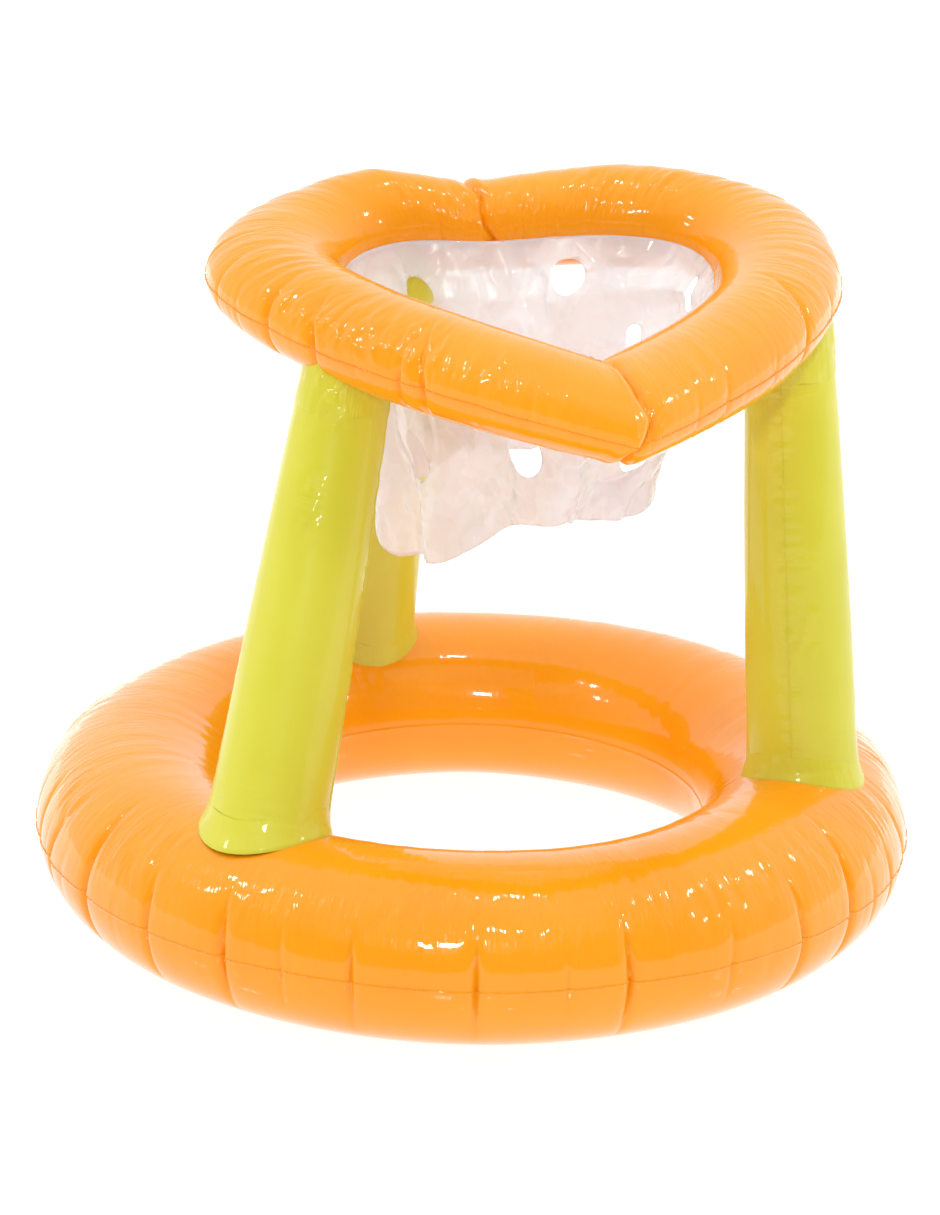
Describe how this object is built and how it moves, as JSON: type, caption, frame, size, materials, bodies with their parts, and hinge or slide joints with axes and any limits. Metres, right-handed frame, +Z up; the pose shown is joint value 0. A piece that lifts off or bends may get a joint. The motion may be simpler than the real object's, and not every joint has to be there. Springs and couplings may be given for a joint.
{
  "type": "floating basketball hoop",
  "caption": "Inflatable floating basketball hoop: a broad base ring, slim round legs and a heart-shaped inflated rim with a short hanging film net.",
  "frame": {"origin": "on the floor under the centre of the base ring", "axes": "+Z up; +Y towards the back, away from the viewer in front of the hoop's tip; +X to that viewer's right"},
  "size_m": [0.67, 0.67, 0.5418],
  "materials": {
    "orange_pvc_film": "glossy inflated film",
    "lime_pvc_film": "glossy inflated film",
    "milky_net_film": "milky thin film",
    "clear_soft_pvc": "smooth soft moulding"
  },
  "bodies": {
    "toy": {"back_leg_foot_cuff": "lime_pvc_film", "back_leg_inner_panel": "lime_pvc_film", "back_leg_outer_panel": "lime_pvc_film", "back_leg_top_cuff": "lime_pvc_film", "base_lower_skin": "orange_pvc_film", "base_upper_skin": "orange_pvc_film", "base_valve_flange": "clear_soft_pvc", "heart_lower_skin": "orange_pvc_film", "heart_upper_skin": "orange_pvc_film", "hoop_valve_flange": "clear_soft_pvc", "left_leg_foot_cuff": "lime_pvc_film", "left_leg_inner_panel": "lime_pvc_film", "left_leg_outer_panel": "lime_pvc_film", "left_leg_top_cuff": "lime_pvc_film", "net": "milky_net_film", "right_leg_foot_cuff": "lime_pvc_film", "right_leg_inner_panel": "lime_pvc_film", "right_leg_outer_panel": "lime_pvc_film", "right_leg_top_cuff": "lime_pvc_film"},
    "base_valve_stem": {"base_valve_stem": "clear_soft_pvc"},
    "base_valve_plug": {"base_valve_plug": "clear_soft_pvc"},
    "base_valve_flap": {"base_valve_flap": "clear_soft_pvc"},
    "hoop_valve_stem": {"hoop_valve_stem": "clear_soft_pvc"},
    "hoop_valve_plug": {"hoop_valve_plug": "clear_soft_pvc"},
    "hoop_valve_flap": {"hoop_valve_flap": "clear_soft_pvc"}
  },
  "joints": [
    {"name": "base_valve_push", "type": "slide", "parent": "toy", "child": "base_valve_stem", "axis": [-0.1762, -0.8288, -0.5311], "range_m": [0, 0.005]},
    {"name": "base_plug_hinge", "type": "hinge", "parent": "base_valve_stem", "child": "base_valve_plug", "pos_m": [0.08052, 0.32111, 0.10691], "axis": [0.1104, 0.5195, -0.8473], "range_deg": [0, 150]},
    {"name": "base_flap_hinge", "type": "hinge", "parent": "base_valve_stem", "child": "base_valve_flap", "pos_m": [0.06871, 0.304, 0.09488], "axis": [-0.1104, -0.5195, 0.8473], "range_deg": [0, 60]},
    {"name": "hoop_valve_push", "type": "slide", "parent": "toy", "child": "hoop_valve_stem", "axis": [-0.0993, -0.7996, -0.5923], "range_m": [0, 0.005]},
    {"name": "hoop_plug_hinge", "type": "hinge", "parent": "hoop_valve_stem", "child": "hoop_valve_plug", "pos_m": [0.14924, 0.16069, 0.53295], "axis": [0.0474, 0.5908, -0.8054], "range_deg": [0, 150]},
    {"name": "hoop_flap_hinge", "type": "hinge", "parent": "hoop_valve_stem", "child": "hoop_valve_flap", "pos_m": [0.13904, 0.14345, 0.5197], "axis": [-0.0474, -0.5908, 0.8054], "range_deg": [0, 60]}
  ]
}
